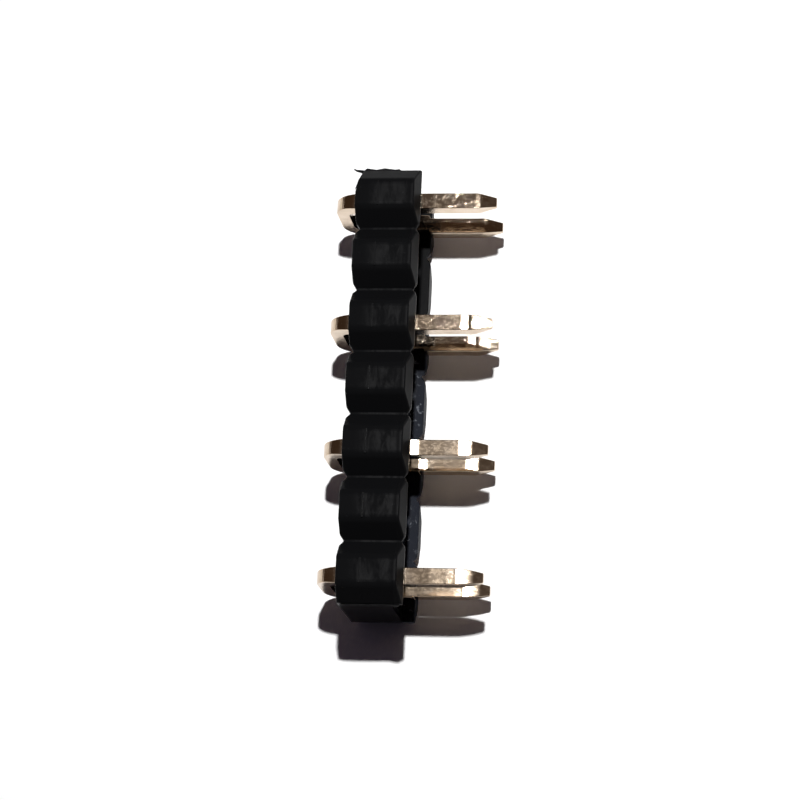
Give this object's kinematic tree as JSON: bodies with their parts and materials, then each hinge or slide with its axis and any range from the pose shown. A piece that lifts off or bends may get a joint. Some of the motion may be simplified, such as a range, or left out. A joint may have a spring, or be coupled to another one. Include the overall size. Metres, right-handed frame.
{
  "type": "pin header strip",
  "caption": "Black two-row pin header strip with bevelled positions, a channel in the leg side and gold U-shaped staple pins that bridge the rows.",
  "frame": {"origin": "middle of the long side that the strip lies on, at the centre of the housing's depth and length", "axes": "+X along the legs, away from the links; +Y along the strip, towards the torn end; +Z across the two rows, up from the table"},
  "size_m": [0.0066, 0.0178, 0.0051],
  "materials": {
    "moulding": "satin black moulded plastic",
    "gold_plating": "scuffed gold plating on brass"
  },
  "bodies": {
    "root": {"housing": "moulding", "staple_1": "gold_plating", "staple_2": "gold_plating", "staple_3": "gold_plating", "staple_4": "gold_plating"}
  },
  "joints": []
}
